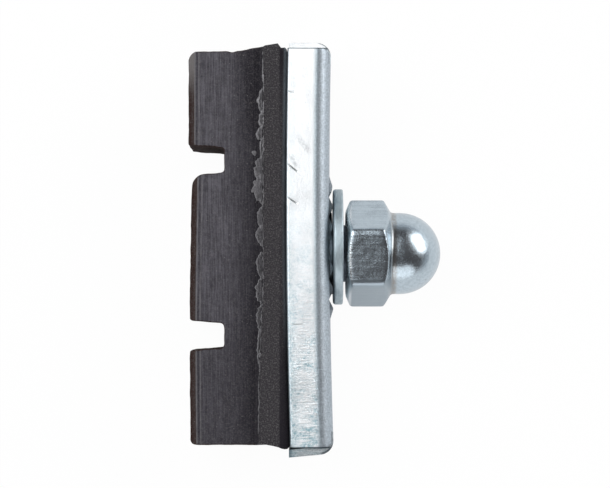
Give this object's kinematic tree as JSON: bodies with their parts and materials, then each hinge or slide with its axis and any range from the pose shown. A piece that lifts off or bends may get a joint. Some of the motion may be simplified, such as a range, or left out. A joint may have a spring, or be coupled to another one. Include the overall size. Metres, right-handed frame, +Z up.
{
  "type": "bicycle rim brake pad",
  "caption": "Slotted rubber rim brake block held in a folded zinc-plated steel holder, with a threaded bolt, plain washer and domed cap nut that clamp it to a brake arm.",
  "frame": {"origin": "on the bolt's axis, on the flat back of the holder", "axes": "+X along the bolt towards the nut, +Y along the pad's length, +Z up across its width, as on a bicycle and as it lies on its side"},
  "size_m": [0.0265, 0.0429, 0.0122],
  "materials": {
    "rubber": "matte moulded, with fine lines along its length",
    "holder_zinc": "satin zinc plate with fine scratches",
    "bolt_zinc": "zinc plate",
    "washer_zinc": "satin zinc plate",
    "nut_zinc": "bright zinc plate over drawn bar"
  },
  "bodies": {
    "root": {"rubber_block": "rubber", "shoe_holder": "holder_zinc", "bolt": "bolt_zinc", "washer": "washer_zinc", "cap_nut": "nut_zinc"}
  },
  "joints": []
}
